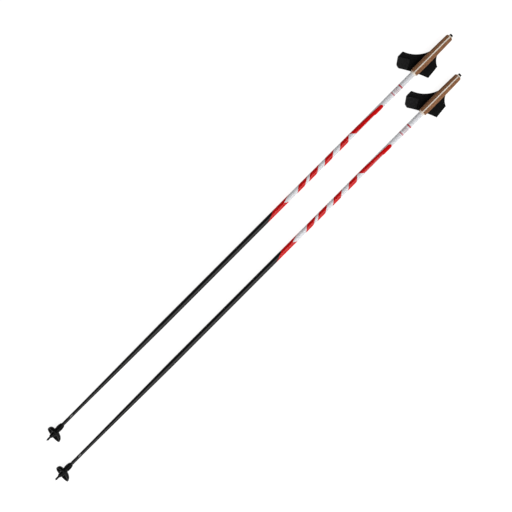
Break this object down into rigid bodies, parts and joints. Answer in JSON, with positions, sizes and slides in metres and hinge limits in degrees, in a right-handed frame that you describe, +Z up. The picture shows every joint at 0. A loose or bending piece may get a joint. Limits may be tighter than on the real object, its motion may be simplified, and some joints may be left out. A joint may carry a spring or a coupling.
{
  "type": "cross-country ski poles",
  "caption": "Pair of fixed-length cross-country ski poles: tapered shafts, racing baskets with carbide spikes, cork grips and wedge-locked hand straps.",
  "frame": {"origin": "centre of the pair's outline, on the surface that the poles lie on", "axes": "+X along the poles from the spikes to the grips, +Y from the right pole to the left pole, +Z up from the surface, the way the front of the grips faces"},
  "size_m": [1.713, 0.204, 0.037],
  "materials": {
    "shaft": "clear-coated carbon composite, painted white with red marks on the upper half",
    "foam": "closed-cell foam",
    "ferrule_plastic": "moulded black nylon",
    "basket_plastic": "moulded black nylon, satin",
    "steel": "blackened steel",
    "carbide": "ground tungsten carbide",
    "cream_plastic": "moulded cream plastic",
    "cork": "natural ground cork, oiled",
    "wedge_plastic": "moulded black plastic",
    "webbing": "black polyester webbing",
    "strap_shell": "black woven nylon",
    "strap_lining": "black foam-backed knit",
    "strap_binding": "black edge tape",
    "loop_pile": "black loop pile",
    "closing_tab": "black hook tape on woven nylon"
  },
  "bodies": {
    "left_pole": {"left_shaft": "shaft", "left_upper_plug": "foam", "left_lower_plug": "foam", "left_ferrule": "ferrule_plastic", "left_basket": "basket_plastic", "left_spike_holder": "steel", "left_carbide_spike": "carbide", "left_grip_core": "cream_plastic", "left_cork_thumb_half": "cork", "left_cork_finger_half": "cork", "left_grip_collar": "cream_plastic", "left_wedge_housing": "cream_plastic", "left_webbing_anchor": "webbing"},
    "left_wedge": {"left_strap_wedge": "wedge_plastic"},
    "left_strap": {"left_webbing_leader": "webbing", "left_hand_band": "strap_shell", "left_band_lining": "strap_lining", "left_edge_binding": "strap_binding", "left_loop_patch": "loop_pile"},
    "left_tab": {"left_hook_tab": "closing_tab"},
    "right_pole": {"right_shaft": "shaft", "right_upper_plug": "foam", "right_lower_plug": "foam", "right_ferrule": "ferrule_plastic", "right_basket": "basket_plastic", "right_spike_holder": "steel", "right_carbide_spike": "carbide", "right_grip_core": "cream_plastic", "right_cork_thumb_half": "cork", "right_cork_finger_half": "cork", "right_grip_collar": "cream_plastic", "right_wedge_housing": "cream_plastic", "right_webbing_anchor": "webbing"},
    "right_wedge": {"right_strap_wedge": "wedge_plastic"},
    "right_strap": {"right_webbing_leader": "webbing", "right_hand_band": "strap_shell", "right_band_lining": "strap_lining", "right_edge_binding": "strap_binding", "right_loop_patch": "loop_pile"},
    "right_tab": {"right_hook_tab": "closing_tab"}
  },
  "joints": [
    {"name": "left_wedge_slide", "type": "slide", "parent": "left_pole", "child": "left_wedge", "axis": [1, 0, 0], "range_m": [0, 0.018]},
    {"name": "left_strap_swing", "type": "hinge", "parent": "left_pole", "child": "left_strap", "pos_m": [0.8063, 0.0352, 0.0086], "axis": [0, -1, 0], "range_deg": [0, 110]},
    {"name": "left_tab_peel", "type": "hinge", "parent": "left_strap", "child": "left_tab", "pos_m": [0.71046, 0.0623, 0.0054], "axis": [0.8737, 0.4864, 0], "range_deg": [0, 95]},
    {"name": "right_wedge_slide", "type": "slide", "parent": "right_pole", "child": "right_wedge", "axis": [1, 0, 0], "range_m": [0, 0.018]},
    {"name": "right_strap_swing", "type": "hinge", "parent": "right_pole", "child": "right_strap", "pos_m": [0.7433, -0.0623, 0.0086], "axis": [0, -1, 0], "range_deg": [0, 110]},
    {"name": "right_tab_peel", "type": "hinge", "parent": "right_strap", "child": "right_tab", "pos_m": [0.64746, -0.0352, 0.0054], "axis": [0.8737, 0.4864, 0], "range_deg": [0, 95]},
    {"name": "right_pole_lift", "type": "slide", "parent": "left_pole", "child": "right_pole", "axis": [0, 0, 1], "range_m": [0, 0.15]}
  ]
}
